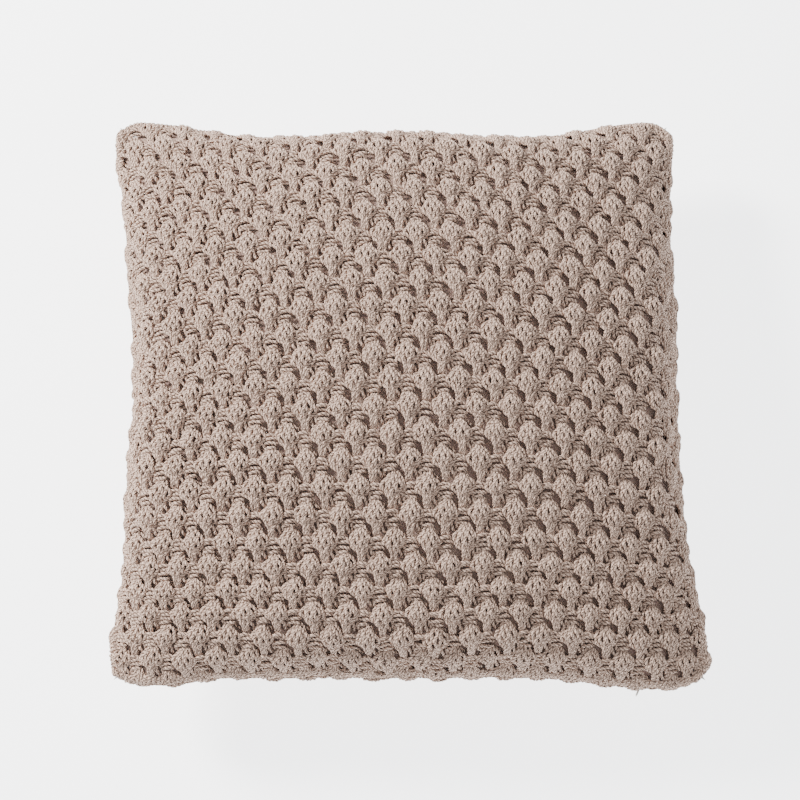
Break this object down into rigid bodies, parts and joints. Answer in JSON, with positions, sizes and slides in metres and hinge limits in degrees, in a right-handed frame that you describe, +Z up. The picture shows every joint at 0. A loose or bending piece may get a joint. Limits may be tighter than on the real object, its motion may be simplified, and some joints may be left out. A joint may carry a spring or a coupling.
{
  "type": "throw pillow",
  "caption": "Square throw pillow: a chunky bobble-knit cover with a lining and an edge zip whose slider and pull tab move, over a fibre-filled insert.",
  "frame": {"origin": "centre of the object's box at its base, under the middle of the back panel, on the surface that the pillow lies on", "axes": "+Z up through the front panel, +X along the zip edge towards the end where the zip closes, -Y out through the zip edge"},
  "size_m": [0.4844, 0.4859, 0.15],
  "materials": {
    "knit_front": "chunky bobble knit in a matt cotton yarn",
    "knit_back": "chunky bobble knit in a matt cotton yarn",
    "lining": "plain-weave cotton",
    "thread": "spun polyester thread",
    "tape": "woven polyester tape",
    "coil": "nylon monofilament coil",
    "stops": "crimped metal",
    "slider": "nickel-plated zinc casting",
    "tab": "nickel-plated zinc casting",
    "casing": "non-woven polypropylene",
    "fill": "hollow-fibre wadding",
    "label": "satin ribbon"
  },
  "bodies": {
    "cover": {"knit_front_panel": "knit_front", "knit_back_panel": "knit_back", "front_lining": "lining", "back_lining": "lining", "left_seam_thread": "thread", "right_seam_thread": "thread", "top_seam_thread": "thread", "zip_tape_front": "tape", "zip_tape_back": "tape", "zip_coil_front": "coil", "zip_coil_back": "coil", "zip_stitching_front": "thread", "zip_stitching_back": "thread", "zip_top_stops": "stops", "zip_bottom_stop": "stops", "insert_casing_front": "casing", "insert_casing_back": "casing", "insert_seam_thread": "thread", "fibre_fill": "fill", "cover_care_label": "label", "insert_label": "label"},
    "zip_slider": {"zip_slider_body": "slider"},
    "zip_puller": {"zip_puller_tab": "tab"}
  },
  "joints": [
    {"name": "zip_slide", "type": "slide", "parent": "cover", "child": "zip_slider", "axis": [-1, 0, 0], "range_m": [0, 0.374]},
    {"name": "puller_swing", "type": "hinge", "parent": "zip_slider", "child": "zip_puller", "pos_m": [0.19, -0.227, 0.065], "axis": [0, 0, 1], "range_deg": [-55, 105]}
  ]
}
